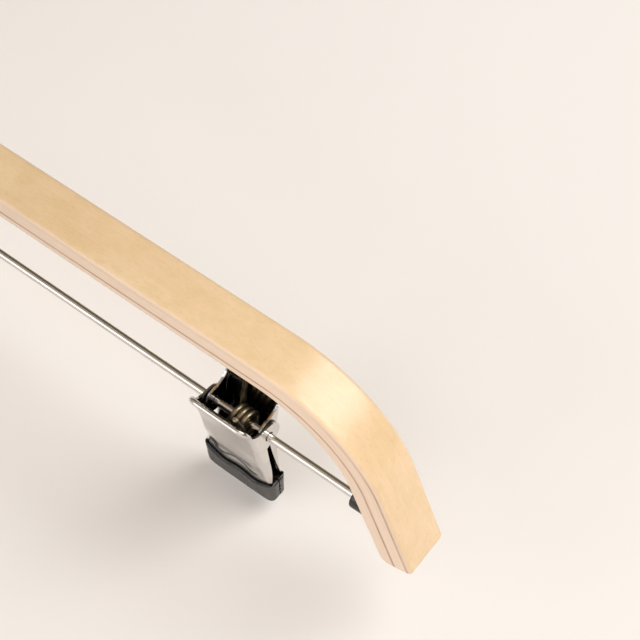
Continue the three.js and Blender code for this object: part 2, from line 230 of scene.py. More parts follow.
def wire(name, path, radius, sides=16, radii=None):
    """A round wire along a path of points, its section carried without twist, with domed ends."""
    points = [Vector(p) for p in path]
    radii = radii or [radius] * len(points)
    tangents = []
    for i in range(len(points)):
        a, b = points[max(i - 1, 0)], points[min(i + 1, len(points) - 1)]
        tangents.append((b - a).normalized())
    normal = tangents[0].orthogonal().normalized()
    rings = []

    def ring(centre, tangent, size):
        across = tangent.cross(normal)
        return [tuple(centre + normal * size * math.cos(2 * math.pi * k / sides)
                      + across * size * math.sin(2 * math.pi * k / sides)) for k in range(sides)]

    for i, (p, t) in enumerate(zip(points, tangents)):
        normal = (normal - t * normal.dot(t)).normalized()
        if i == 0:
            for a in (15, 40, 65):
                q = math.radians(a)
                rings.append(ring(p - t * radii[0] * 0.5 * math.cos(q), t, radii[0] * math.sin(q)))
        rings.append(ring(p, t, radii[i]))
        if i == len(points) - 1:
            for a in (65, 40, 15):
                q = math.radians(a)
                rings.append(ring(p + t * radii[-1] * 0.5 * math.cos(q), t, radii[-1] * math.sin(q)))
    return ring_solid(name, rings)


def finish_piece(obj, body, slot, material, *nodes):
    obj.data.materials.clear()
    obj.data.materials.append(material)
    if nodes:
        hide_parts(*nodes)
    if body:
        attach(obj, body)
    return obj


# Materials

def colour(r, g, b):
    """An sRGB colour of 0 to 255 as the renderer's linear one."""
    def line(c):
        c /= 255
        return c / 12.92 if c <= 0.04045 else ((c + 0.055) / 1.055) ** 2.4
    return (line(r), line(g), line(b), 1)


class Nodes:
    """Makes a material's nodes and joins them."""

    def __init__(self, name):
        self.material = bpy.data.materials.new(name)
        self.material.use_nodes = True
        self.tree = self.material.node_tree
        self.tree.nodes.clear()
        self.shader = self.add("ShaderNodeBsdfPrincipled")
        out = self.add("ShaderNodeOutputMaterial")
        self.join(self.shader, "BSDF", out, "Surface")

    def add(self, kind, **values):
        node = self.tree.nodes.new(kind)
        for key, value in values.items():
            setattr(node, key, value)
        return node

    def join(self, a, a_socket, b, b_socket):
        self.tree.links.new(a.outputs[a_socket], b.inputs[b_socket])

    def math(self, operation, a, b=None, clamp=False):
        node = self.tree.nodes.new("ShaderNodeMath")
        node.operation = operation
        node.use_clamp = clamp
        for i, value in enumerate((a, b)):
            if value is None:
                continue
            if isinstance(value, (int, float)):
                node.inputs[i].default_value = value
            else:
                self.tree.links.new(value, node.inputs[i])
        return node.outputs[0]

    def noise(self, vector, scale, detail=4, roughness=0.5, distortion=0):
        node = self.tree.nodes.new("ShaderNodeTexNoise")
        node.inputs["Scale"].default_value = scale
        node.inputs["Detail"].default_value = detail
        node.inputs["Roughness"].default_value = roughness
        node.inputs["Distortion"].default_value = distortion
        self.tree.links.new(vector, node.inputs["Vector"])
        return node.outputs[0]

    def stretch(self, vector, x, y, z, shift=(0, 0, 0)):
        node = self.tree.nodes.new("ShaderNodeMapping")
        node.inputs["Scale"].default_value = (x, y, z)
        node.inputs["Location"].default_value = shift
        self.tree.links.new(vector, node.inputs["Vector"])
        return node.outputs[0]

    def ramp(self, value, stops):
        node = self.tree.nodes.new("ShaderNodeValToRGB")
        while len(node.color_ramp.elements) < len(stops):
            node.color_ramp.elements.new(0.5)
        for element, (place, level) in zip(node.color_ramp.elements, stops):
            element.position = place
            element.color = level if isinstance(level, tuple) else (level, level, level, 1)
        self.tree.links.new(value, node.inputs[0])
        return node.outputs[0]

    def mix(self, share, a, b, blend="MIX"):
        node = self.tree.nodes.new("ShaderNodeMix")
        node.data_type = "RGBA"
        node.blend_type = blend
        for socket, value in ((node.inputs[0], share), (node.inputs[6], a), (node.inputs[7], b)):
            if isinstance(value, (int, float, tuple)):
                socket.default_value = value
            else:
                self.tree.links.new(value, socket)
        return node.outputs[2]

    def set(self, socket, value):
        if isinstance(value, (int, float, tuple)):
            self.shader.inputs[socket].default_value = value
        else:
            self.tree.links.new(value, self.shader.inputs[socket])

    def bump(self, height, strength, distance):
        node = self.tree.nodes.new("ShaderNodeBump")
        node.inputs["Strength"].default_value = strength
        node.inputs["Distance"].default_value = distance
        self.tree.links.new(height, node.inputs["Height"])
        self.tree.links.new(node.outputs[0], self.shader.inputs["Normal"])

    def place(self):
        node = self.tree.nodes.new("ShaderNodeTexCoord")
        return node.outputs["Object"]


def wood():
    """Lacquered wood: a mottled face, paler sides, brown glue lines between the plies, and painted shade
    over the bow's middle.
    """
    n = Nodes("veneer_lacquered")
    along = n.add("ShaderNodeUVMap", uv_map="grain")
    across = n.add("ShaderNodeUVMap", uv_map="depth")
    a = n.add("ShaderNodeSeparateXYZ")
    d = n.add("ShaderNodeSeparateXYZ")
    n.join(along, "UV", a, "Vector")
    n.join(across, "UV", d, "Vector")
    both = n.add("ShaderNodeCombineXYZ")
    n.join(a, "X", both, "X")
    n.join(a, "Y", both, "Y")
    n.join(d, "X", both, "Z")
    place = both.outputs[0]
    length, width = a.outputs["X"], a.outputs["Y"]
    depth, bend_share = d.outputs["X"], d.outputs["Y"]

    cloud = n.noise(n.stretch(place, 0.022, 0.09, 0.3), 1, 3, 0.55)
    streak = n.noise(n.stretch(place, 0.035, 1.6, 1.9), 1, 5, 0.6, 0.15)
    fine = n.noise(n.stretch(place, 0.35, 7, 8), 1, 3, 0.6)
    fleck = n.noise(n.stretch(place, 0.55, 3.4, 3.6, (3.1, 0, 0)), 1, 2, 0.5)
    flecks = n.ramp(fleck, [(0.60, 0.0), (0.70, 1.0)])
    mottle = n.noise(n.stretch(place, 0.17, 0.24, 0.5, (7.7, 1.3, 0)), 1, 5, 0.62, 0.4)
    blush = n.noise(n.stretch(place, 0.10, 0.19, 0.5, (2.1, 9.4, 0)), 1, 4, 0.6)

    warm, middle, pale = colour(240, 202, 154), colour(246, 212, 166), colour(251, 220, 177)
    face = n.ramp(cloud, [(0.30, warm), (0.52, middle), (0.72, pale)])
    face = n.mix(n.ramp(mottle, [(0.40, 0.0), (0.66, 0.75)]), face, colour(235, 201, 149))
    face = n.mix(n.ramp(blush, [(0.42, 0.0), (0.64, 0.65)]), face, colour(250, 214, 173))
    face = n.mix(n.ramp(streak, [(0.35, 0.0), (0.7, 0.16)]), face, colour(222, 178, 124))
    face = n.mix(n.math("MULTIPLY", flecks, 0.32), face, colour(206, 162, 112))
    face = n.mix(n.ramp(fine, [(0.4, 0.0), (0.75, 0.22)]), face, colour(253, 230, 190))

    edge = n.ramp(streak, [(0.3, colour(236, 205, 176)), (0.7, colour(246, 219, 193))])
    edge = n.mix(n.ramp(fine, [(0.35, 0.0), (0.7, 0.22)]), edge, colour(218, 184, 154))

    frayed = n.math("MULTIPLY", n.math("SUBTRACT", fine, 0.5), 0.5)
    reach = n.math("ADD", n.math("ABSOLUTE", width), frayed)
    side = n.ramp(n.math("SUBTRACT", reach, BOW_WIDTH / 2 - 1), [(0.10, 0.0), (0.85, 1.0)])
    body = n.mix(side, face, edge)
    # Painted shade: the wood is darkened to 0.88 over the bow's middle and keeps its own colour towards
    # the tips.
    towards_tip = n.math("DIVIDE", n.math("ABSOLUTE", length), HALF_LENGTH)
    tone = n.ramp(towards_tip, [(0.42, 0.88), (0.80, 1.0)])
    body = n.mix(1.0, body, tone, "MULTIPLY")

    def line(middle, half_width):
        away = n.math("ABSOLUTE", n.math("SUBTRACT", depth, middle))
        return n.math("SUBTRACT", 1, n.math("DIVIDE", away, half_width), clamp=True)

    in_arm = n.ramp(bend_share, [(0.5, 0.0), (0.9, 0.75)])
    outer_line = n.math("MULTIPLY", line(OUTER_SEAM, 0.50), in_arm)
    glue = n.math("MAXIMUM", outer_line, line(INNER_SEAM, 0.6))
    wander = n.noise(n.stretch(place, 0.16, 0.5, 0.5), 1, 2)
    glue = n.math("MULTIPLY", glue, n.ramp(wander, [(0.3, 0.7), (0.7, 1.0)]))
    side_glue = n.math("MULTIPLY", glue, side)
    body = n.mix(side_glue, body, colour(150, 96, 58))
    n.set("Base Color", body)
    rough = n.ramp(fine, [(0.3, 0.34), (0.7, 0.46)])
    n.set("Roughness", n.math("ADD", rough, n.math("MULTIPLY", side, 0.2)))
    n.set("Coat Weight", 0.75)
    n.set("Coat Roughness", 0.25)
    height = n.math("ADD", n.math("MULTIPLY", streak, 0.5), n.math("MULTIPLY", fine, 0.5))
    height = n.math("SUBTRACT", height, n.math("MULTIPLY", side_glue, 0.15))
    n.bump(height, 0.22, 0.00012)
    return n.material


def plated(name, tint, rough, grain):
    """Bright plating with a faint orange peel, drawing marks and duller patches, with painted shade
    darkening its inner faces.
    """
    n = Nodes(name)
    place = n.place()
    peel = n.noise(place, 900, 3, 0.6)
    marks = n.noise(n.stretch(place, *grain), 1, 3, 0.6)
    haze = n.noise(place, 160, 4, 0.6)
    dulled = colour(*[c * 0.86 for c in tint])
    shine = n.mix(n.ramp(haze, [(0.35, 0.0), (0.75, 0.5)]), colour(*tint), dulled)
    # Painted shade: where a jaw's points are marked as inner faces, the plating's colour gives way to a
    # dark brown-grey.
    inside = n.add("ShaderNodeAttribute", attribute_name="inside")
    n.set("Base Color", n.mix(n.math("MULTIPLY", inside.outputs["Fac"], 0.9), shine, colour(70, 64, 58)))
    n.set("Metallic", 1.0)
    rubbed = n.ramp(haze, [(0.3, rough), (0.8, rough + 0.12)])
    n.set("Roughness", n.math("ADD", rubbed, n.math("MULTIPLY", marks, 0.04)))
    n.bump(n.math("ADD", n.math("MULTIPLY", peel, 0.5), marks), 0.05, 0.00002)
    return n.material


def spring_wire():
    """Spring steel of an uneven brown tone."""
    n = Nodes("spring_wire")
    place = n.place()
    haze = n.noise(place, 420, 4, 0.6)
    scale = n.noise(place, 2200, 2, 0.6)
    n.set("Base Color", n.ramp(haze, [(0.3, colour(128, 116, 96)), (0.7, colour(176, 162, 138))]))
    n.set("Metallic", 1.0)
    n.set("Roughness", n.ramp(scale, [(0.3, 0.30), (0.7, 0.42)]))
    n.bump(scale, 0.10, 0.00005)
    return n.material


def black_plastic():
    """Black plastic with a fine skin, glossier in some places."""
    n = Nodes("black_plastic")
    place = n.place()
    haze = n.noise(place, 260, 4, 0.6)
    skin = n.noise(place, 2600, 2, 0.6)
    n.set("Base Color", n.ramp(haze, [(0.3, colour(20, 20, 19)), (0.75, colour(34, 33, 31))]))
    n.set("Roughness", n.ramp(haze, [(0.3, 0.22), (0.7, 0.36)]))
    n.set("Specular IOR Level", 0.6)
    n.bump(skin, 0.10, 0.00006)
    return n.material


WOOD = wood()
HOOK_PLATE = plated("hook_plating", (226, 224, 222), 0.10, (60, 60, 900))
ROD_STEEL = plated("rod_steel", (224, 220, 214), 0.11, (40, 1600, 1600))
CLIP_PLATE = plated("clip_plating", (222, 218, 214), 0.10, (500, 500, 500))
SPRING = spring_wire()
BLACK = black_plastic()


# Bow

def bow_stations():
    """Places along the bow's outer face from tip to tip.

    Each is its point, its outward direction, its length from the crest, how far the inner ply has grown,
    and how much the end's rounding takes off all round and off the inner face.
    """
    stations = []

    def add(x, z, angle, length, share=0.0, inset=0.0, trim=0.0):
        stations.append((x, z, math.sin(angle), math.cos(angle), length, share, inset, trim))

    steps = 16
    for i in range(steps + 1):
        a = CROWN_ANGLE * i / steps
        add(CROWN_RADIUS * math.sin(a), CROWN_TOP - CROWN_RADIUS * (1 - math.cos(a)), a, CROWN_RADIUS * a)
    length = CROWN_RADIUS * CROWN_ANGLE
    steps = 20
    for i in range(1, steps + 1):
        a = CROWN_ANGLE * (1 - i / steps)
        x = NECK_SPAN - NECK_RADIUS * math.sin(a)
        z = SHOULDER_TOP + NECK_RADIUS * (1 - math.cos(a))
        add(x, z, a, length + NECK_RADIUS * (CROWN_ANGLE - a), SHOULDER_SHARE * i / steps)
    length += NECK_RADIUS * CROWN_ANGLE
    bend_x = HALF_LENGTH - ARM_LENGTH * math.cos(ARM_ANGLE) - ARM_RADIUS * math.sin(ARM_ANGLE)
    steps = 10
    for i in range(1, steps + 1):
        x = NECK_SPAN + (bend_x - NECK_SPAN) * i / steps
        add(x, SHOULDER_TOP, 0, length + x - NECK_SPAN, SHOULDER_SHARE)
    length += bend_x - NECK_SPAN
    steps = 36
    for i in range(1, steps + 1):
        a = ARM_ANGLE * i / steps
        x = bend_x + ARM_RADIUS * math.sin(a)
        z = SHOULDER_TOP - ARM_RADIUS * (1 - math.cos(a))
        add(x, z, a, length + ARM_RADIUS * a, SHOULDER_SHARE + (1 - SHOULDER_SHARE) * i / steps)
    length += ARM_RADIUS * ARM_ANGLE
    start_x, start_z = stations[-1][0], stations[-1][1]
    places = [ARM_LENGTH * i / 8 for i in range(1, 7)]
    places += [ARM_LENGTH - TIP_ROUND * (1 - math.sin(math.radians(q))) for q in (0, 9, 18, 27, 36, 44)]
    places += [ARM_LENGTH - END_RADIUS * (1 - math.sin(math.radians(q))) for q in (0, 20, 40, 60, 75, 90)]
    for p in places:
        left = ARM_LENGTH - p
        inset = 0.0
        if left < END_RADIUS:
            inset = END_RADIUS - math.sqrt(max(END_RADIUS ** 2 - (END_RADIUS - left) ** 2, 0))
            inset = min(inset, END_RADIUS * 0.92)
        trim = TIP_ROUND - math.sqrt(max(TIP_ROUND ** 2 - max(TIP_ROUND - left, 0) ** 2, 0))
        x = start_x + p * math.cos(ARM_ANGLE)
        z = start_z - p * math.sin(ARM_ANGLE)
        add(x, z, ARM_ANGLE, length + p, 1, inset, trim)
    mirrored = [(-x, z, -nx, nz, -s, g, i, t) for x, z, nx, nz, s, g, i, t in reversed(stations[1:])]
    return mirrored + stations


def grown(depth, share):
    """A depth under the outer face at a share of the bend, as the inner ply thickens towards the arm."""
    growth = ARM_INNER_PLY / (BOW_THICKNESS - INNER_SEAM) - 1
    return depth + max(depth - INNER_SEAM, 0) * growth * share


def ply_section(low, high, share, inset, trim):
    """One ply's outline at a station as (across, depth) pairs, within the bow's rounded section."""
    total = grown(BOW_THICKNESS, share) - min(trim, TIP_TRIM_LIMIT)
    radius = max(EDGE_RADIUS - inset * EDGE_RADIUS / END_RADIUS, 0.02)

    def half(depth):
        near = min(depth - inset, total - inset - depth)
        if near >= radius:
            return BOW_WIDTH / 2 - inset
        near = max(near, 0)
        return BOW_WIDTH / 2 - inset - radius + math.sqrt(max(radius ** 2 - (radius - near) ** 2, 0))

    arc = [radius * (1 - math.cos(math.radians(a))) for a in (0, 15, 32, 50, 68, 90)]
    top = grown(low, share)
    bottom = grown(high, share)
    if low == 0:
        depths = [inset + a for a in arc] + [bottom]
    elif high == BOW_THICKNESS:
        depths = [top] + [total - inset - a for a in reversed(arc)]
    else:
        depths = [top, (top + bottom) / 2, bottom]
    across = 10
    section = [(-half(d), d) for d in reversed(depths)]
    first, last = half(depths[0]), half(depths[-1])
    section += [(first * (2 * i / across - 1), depths[0]) for i in range(1, across)]
    section += [(half(d), d) for d in depths]
    section += [(last * (1 - 2 * i / across), depths[-1]) for i in range(1, across)]
    return section


def make_bow():
    stations = bow_stations()
    end = ARM_INNER + ROD_SEAT
    under_seat = CROWN_UNDER + SEAT_DEPTH
    cutters = [
        bar("seat", FLANGE_RADIUS + SEAT_GAP, (0, 0, CROWN_TOP - SEAT_DEPTH), (0, 0, CROWN_TOP + 2), "Z"),
        bar("hole", BORE_RADIUS, (0, 0, CROWN_UNDER - 3), (0, 0, CROWN_TOP + 3), "Z"),
        bar("spigot", SPIGOT_RADIUS + 0.12, (0, 0, CROWN_TOP - 5), (0, 0, CROWN_TOP + 1), "Z"),
        bar("under", WASHER_RADIUS + SEAT_GAP, (0, 0, CROWN_UNDER - 6), (0, 0, under_seat), "Z"),
        bar("rod_hole", ROD_RADIUS + 0.12, (-end, 0, ROD_HEIGHT), (end, 0, ROD_HEIGHT), "X"),
    ]
    for name, node, low, high in PLIES:
        rings, lengths, depths, acrosses, shares = [], [], [], [], []
        for x, z, nx, nz, s, share, inset, trim in stations:
            ring = []
            for y, d in ply_section(low, high, share, inset, trim):
                ring.append((x - nx * d, y, z - nz * d))
                lengths.append(s)
                acrosses.append(y)
                depths.append(d)
                shares.append(share)
            rings.append(ring)
        obj = ring_solid(name, rings)
        grain = obj.data.uv_layers.new(name="grain")
        depth = obj.data.uv_layers.new(name="depth")
        for loop in obj.data.loops:
            v = loop.vertex_index
            grain.data[loop.index].uv = (lengths[v], acrosses[v])
            depth.data[loop.index].uv = (depths[v], shares[v])
        cut(obj, cutters)
        shade(obj, 38)
        finish_piece(obj, "bow", "veneer", WOOD, node)
    discard(cutters)


# Hook and its fittings

def hook_path():
    """The hook's middle line from its tip, over the eye and round the neck, down to the nut's roof."""
    path = []
    for i in range(121):
        a = HOOK_TIP_ANGLE + (-HOOK_TURN - HOOK_TIP_ANGLE) * i / 120
        path.append((HOOK_LINE * math.cos(a), 0, -HOOK_INSIDE + HOOK_LINE * math.sin(a)))
    for i in range(1, 31):
        a = math.pi - HOOK_TURN + HOOK_TURN * i / 30
        path.append((HOOK_NECK * (1 + math.cos(a)), 0, -HOOK_DROP + HOOK_NECK * math.sin(a)))
    nut_end = CROWN_UNDER + SEAT_DEPTH - WASHER_HEIGHT - NUT_GAP - NUT_HEX - NUT_DOME
    shank_end = nut_end + NUT_ROOF + SEAT_GAP
    for i in range(1, 9):
        path.append((0, 0, -HOOK_DROP + (shank_end + HOOK_DROP) * i / 8))
    return path


def make_hook_wire():
    path = hook_path()
    ball = HOOK_BALL_RADIUS
    start = Vector(path[0])
    tangent = (Vector(path[1]) - start).normalized()
    cap = []
    sizes = []
    for q in range(-80, 50, 10):
        a = math.radians(q)
        cap.append(tuple(start + tangent * ball * math.sin(a)))
        sizes.append(ball * math.cos(a))
    reach = ball * math.sin(math.radians(40))
    rest = [p for p in path if (Vector(p) - start).length > reach + 0.9]
    hook = wire("hook_wire", cap + rest, HOOK_WIRE / 2, 28, sizes + [HOOK_WIRE / 2] * len(rest))
    finish_piece(hook, "hook", "hook_plating", HOOK_PLATE, "hook")


def make_collar():
    floor = CROWN_TOP - 0.35
    foot = floor - SPIGOT_LENGTH
    top = floor + FLANGE_HEIGHT
    profile = [(BORE_RADIUS, foot), (SPIGOT_RADIUS - 0.2, foot)]
    profile += [(SPIGOT_RADIUS, foot + 0.2), (SPIGOT_RADIUS, floor)]
    profile += [(FLANGE_RADIUS - 0.3, floor)] + rounded(FLANGE_RADIUS - 0.3, floor + 0.3, 0.3, -90, 0, 3)
    profile += rounded(FLANGE_RADIUS - 1.1, floor + 1.1, 1.1, 0, 90, 8)
    profile += [(3.1, top), (2.9, top - 0.15), (2.4, top - 0.15)]
    profile += rounded(BORE_RADIUS + 0.3, top - 0.45, 0.3, 90, 180, 3)
    collar = turned("hook_ferrule", profile)
    finish_piece(collar, "bow", "hook_plating", HOOK_PLATE, "hook_collar")


def make_washer():
    top = CROWN_UNDER + 0.35
    corner = WASHER_RADIUS - 0.2
    profile = [(BORE_RADIUS, top - 0.9), (BORE_RADIUS, top - 0.1), (BORE_RADIUS + 0.1, top)]
    profile += rounded(corner, top - 0.2, 0.2, 90, 0, 3) + rounded(corner, top - 0.8, 0.2, 0, -90, 3)
    profile += [(BORE_RADIUS + 0.1, top - WASHER_HEIGHT)]
    washer = turned("under_washer", profile)
    finish_piece(washer, "bow", "hook_plating", HOOK_PLATE, "hook_washer")


def make_nut():
    """A dome nut: each height has its least radius and the most that its chamfer leaves of the hexagon."""
    top = CROWN_UNDER + SEAT_DEPTH - WASHER_HEIGHT - NUT_GAP
    base = top - NUT_HEX
    bore = 1.87
    dome = 3.3
    round_only = 9
    heights = [(top - 3.6, bore, bore), (top, bore, bore), (top, 3.15, 3.15), (top - 0.12, NUT_FLAT, 3.7)]
    heights += [(top - drop, NUT_FLAT, 4.05) for drop in (0.35, 1.6, 2.85)]
    heights += [(base + 0.12, NUT_FLAT, 3.7), (base, 3.35, 3.35)]
    for q in (6, 18, 30, 42, 54, 66, 78, 88):
        a = math.radians(q)
        heights.append((base - NUT_DOME * math.sin(a), dome * math.cos(a), round_only))
    sides = 96
    rings = []
    for k in range(sides):
        a = 2 * math.pi * k / sides
        hexagon = NUT_FLAT / math.cos((a + math.pi / 6) % (math.pi / 3) - math.pi / 6)
        ring = []
        for h, least, most in heights:
            r = min(hexagon, most) if most < round_only and least >= NUT_FLAT else least
            ring.append((r * math.sin(a), r * math.cos(a), h))
        rings.append(ring)
    verts = [p for ring in rings for p in ring]
    faces = quads(sides, len(heights), wrap_rows=True)
    faces.append(tuple(k * len(heights) for k in range(sides)))
    faces.append(tuple(k * len(heights) + len(heights) - 1 for k in range(sides)))
    nut = new_object("dome_nut", verts, faces, 32)
    finish_piece(nut, "hook", "hook_plating", HOOK_PLATE, "hook_nut")


# Rod and sleeves

SLEEVE_RADIUS = 3.1
SLEEVE_BORE = 1.27
SLEEVE_LENGTH = 9.8
SLEEVE_EDGE = 0.6


def make_rod():
    end = ARM_INNER + ROD_SEAT - SEAT_GAP
    turned_end = [(0, 0.9), (0.08, 1.08), (0.25, ROD_RADIUS)]
    places = [(-end + inward, radius) for inward, radius in turned_end]
    places += [(-end + 0.25 + (2 * end - 0.5) * i / 24, ROD_RADIUS) for i in range(1, 24)]
    places += [(end - inward, radius) for inward, radius in reversed(turned_end)]
    sides = 40
    rings = []
    for x, r in places:
        ring = []
        for k in range(sides):
            a = 2 * math.pi * k / sides
            ring.append((x, r * math.cos(a), ROD_HEIGHT + r * math.sin(a)))
        rings.append(ring)
    rod = ring_solid("clip_rod_wire", rings, 40)
    finish_piece(rod, "bow", "rod_steel", ROD_STEEL, "clip_rod")


def make_sleeve(side, name):
    """A sleeve round the rod's end, with a shallow groove, cut slanting where it meets the arm."""
    start = ARM_INNER - SLEEVE_LENGTH
    core = SLEEVE_RADIUS - SLEEVE_EDGE
    groove = SLEEVE_RADIUS - 0.08
    profile = [(SLEEVE_BORE, start + 0.25), (1.5, start + 0.02), (1.8, start)]
    for q in (0, 20, 40, 60, 80, 90):
        a = math.radians(q)
        profile.append((core + SLEEVE_EDGE * math.sin(a), start + SLEEVE_EDGE - SLEEVE_EDGE * math.cos(a)))
    profile += [(SLEEVE_RADIUS, start + 3.4), (groove, start + 3.5), (groove, start + 3.8)]
    profile += [(SLEEVE_RADIUS, start + 3.9), (SLEEVE_RADIUS, None), (SLEEVE_BORE, None)]
    sides = 56
    rings = []
    for k in range(sides):
        a = 2 * math.pi * k / sides
        ring = []
        for r, x in profile:
            z = r * math.sin(a)
            if x is None:
                x = ARM_INNER - SEAT_GAP / math.sin(ARM_ANGLE) - z / math.tan(ARM_ANGLE)
            ring.append((side * x, r * math.cos(a), ROD_HEIGHT + z))
        rings.append(ring)
    sleeve = torus_like("sleeve_" + name, rings, 35)
    finish_piece(sleeve, "bow", "black_plastic", BLACK, "rod_sleeve_" + name)


# Clips, drawn round the rod's axis with the jaws' meeting plane at Y = 0

LEAN = math.radians(10)
SOLID_COIL_RADIUS = 3.75
SOLID_COIL_WIRE = 0.64
TAB_INSIDE = SOLID_COIL_RADIUS + SOLID_COIL_WIRE + SEAT_GAP
TAB_TOP = 11.3
TAB_CORNER = 3.4
JAW_END = -31.8
JAW_HALF_WIDTH = 11.4
FRONT_HALF_WIDTH = 10
REAR_HALF_WIDTH = 8.9
EAR_RADIUS = 4.2
EAR_HOLE = 1.45
FLARE = 1.0
FLARE_START = 8.2
PANEL_HEIGHT = 0.25


def tab_reach(z, depth):
    """How far a tab's outer face, less a depth, stands from the meeting plane."""
    return (TAB_INSIDE + PLATE - depth + z * math.sin(LEAN)) / math.cos(LEAN)


def follow(knots, value):
    """A smooth line through knots, without overshoot."""
    xs = np.array([k[0] for k in knots], float)
    ys = np.array([k[1] for k in knots], float)
    slopes = np.diff(ys) / np.diff(xs)
    tangents = np.zeros(len(xs))
    tangents[0], tangents[-1] = slopes[0], slopes[-1]
    for i in range(1, len(xs) - 1):
        a, b = slopes[i - 1], slopes[i]
        tangents[i] = 0 if a * b <= 0 else 2 * a * b / (a + b)
    i = int(np.clip(np.searchsorted(xs, value) - 1, 0, len(xs) - 2))
    h = xs[i + 1] - xs[i]
    t = min(max((value - xs[i]) / h, 0), 1)
    return float((2 * t ** 3 - 3 * t ** 2 + 1) * ys[i] + (t ** 3 - 2 * t ** 2 + t) * h * tangents[i]
                 + (3 * t ** 2 - 2 * t ** 3) * ys[i + 1] + (t ** 3 - t ** 2) * h * tangents[i + 1])


def flare(z):
    """How far a tab turns outward towards its rim."""
    return FLARE * max(z - FLARE_START, 0) ** 2 / (TAB_TOP - FLARE_START) ** 2


# How far a jaw's plate stands from the meeting plane, and how far its turned edge comes back, by height
PLATE_LINE = [(JAW_END, 2.0), (-20, 2.6), (-11, 4.2)]
PLATE_LINE += [(z, tab_reach(z, 0)) for z in (-1.875, 4, 7.8)]
PLATE_LINE += [(z, tab_reach(z, 0) + flare(z)) for z in (9, 10.2, TAB_TOP)]
EAR_ANGLES = [math.radians(q) for q in range(235, 147, -5)]
EAR = [(EAR_RADIUS * math.sin(a), EAR_RADIUS * math.cos(a)) for a in EAR_ANGLES]
EDGE_LINE = [(JAW_END, 1.96), (-23, 2.3), (-20.5, 1.8), (-18, 1.35), (-15, 1.15), (-4.9, 1.15)]
EDGE_LINE += EAR
EDGE_LINE += [(2.9, -3.0), (3.7, -2.2), (4.3, -1.0), (4.6, 0.6), (4.8, 2.6), (5.5, 4.3), (6.6, 5.6)]
EDGE_LINE += [(7.8, 6.45), (9.0, 7.0), (10.2, 7.4), (TAB_TOP, 7.7)]


def straight(knots, value):
    return float(np.interp(value, [k[0] for k in knots], [k[1] for k in knots]))


def relief(x, z):
    """How far the pressed panel on a jaw's plate stands out."""
    if z < -22.5 or z > -5:
        return 0.0
    low = -20.6 + 1.4 * math.cos(2 * math.pi * x / 11)
    rise = min(max((z - low) / 2.2, 0), 1)
    fall = min(max((-6.2 - z) / 3.4, 0), 1)
    side = min(max((8.8 - abs(x)) / 3.4, 0), 1)
    height = 1.0
    for share in (rise, fall, side):
        height *= share * share * (3 - 2 * share)
    return PANEL_HEIGHT * height


def jaw_half(z, half_width):
    """Half a jaw's width at a height."""
    wide = [(JAW_END, JAW_HALF_WIDTH), (-22, JAW_HALF_WIDTH), (-19, JAW_HALF_WIDTH - 0.15)]
    return follow(wide + [(-8, half_width + 0.22), (-5, half_width), (TAB_TOP, half_width)], z)


def jaw_corner(z, half_width):
    """A jaw's plate line at a height, with the drop, radius, angle and start of its rounded edge."""
    y = follow(PLATE_LINE, z)
    drop = max(y - straight(EDGE_LINE, z), 0.02)
    half = jaw_half(z, half_width)
    if z > TAB_TOP - TAB_CORNER:
        turned_in = min((z - TAB_TOP + TAB_CORNER) / TAB_CORNER, 1)
        half -= TAB_CORNER - TAB_CORNER * math.sqrt(1 - turned_in ** 2)
        drop = 0.02 + (drop - 0.02) * (1 - turned_in ** 2)
    radius = follow([(JAW_END, 2.6), (-16, 2.6), (-6, 1.5), (4, 1.4), (TAB_TOP, 1.6)], z)
    bend = math.acos(1 - drop / radius) if drop < radius else math.pi / 2
    return y, drop, radius, bend, half - radius * math.sin(bend)


def mark_painted_shade(obj, half_width, turn):
    """Notes which of a jaw's points lie on its inner faces, which get painted shade in the plating's
    colour.
    """
    points = np.empty(len(obj.data.vertices) * 3)
    obj.data.vertices.foreach_get("co", points)
    x, y, z = points.reshape(-1, 3).T / MM
    heights = np.linspace(JAW_END - 1, TAB_TOP + 1, 500)
    table = np.array([jaw_corner(height, half_width) for height in heights]).T
    line, radius, start = (np.interp(z, heights, table[i]) for i in (0, 2, 4))
    beside = np.abs(x) - start
    over = np.maximum(turn * y - line + radius, 0)
    depth = np.where(beside <= 0, line - turn * y, radius - np.hypot(beside, over))
    # The 'inside' attribute carries the painted shade of the inner faces.
    layer = obj.data.attributes.new("inside", "FLOAT", "POINT")
    layer.data.foreach_set("value", (depth > 0.4).astype(float))


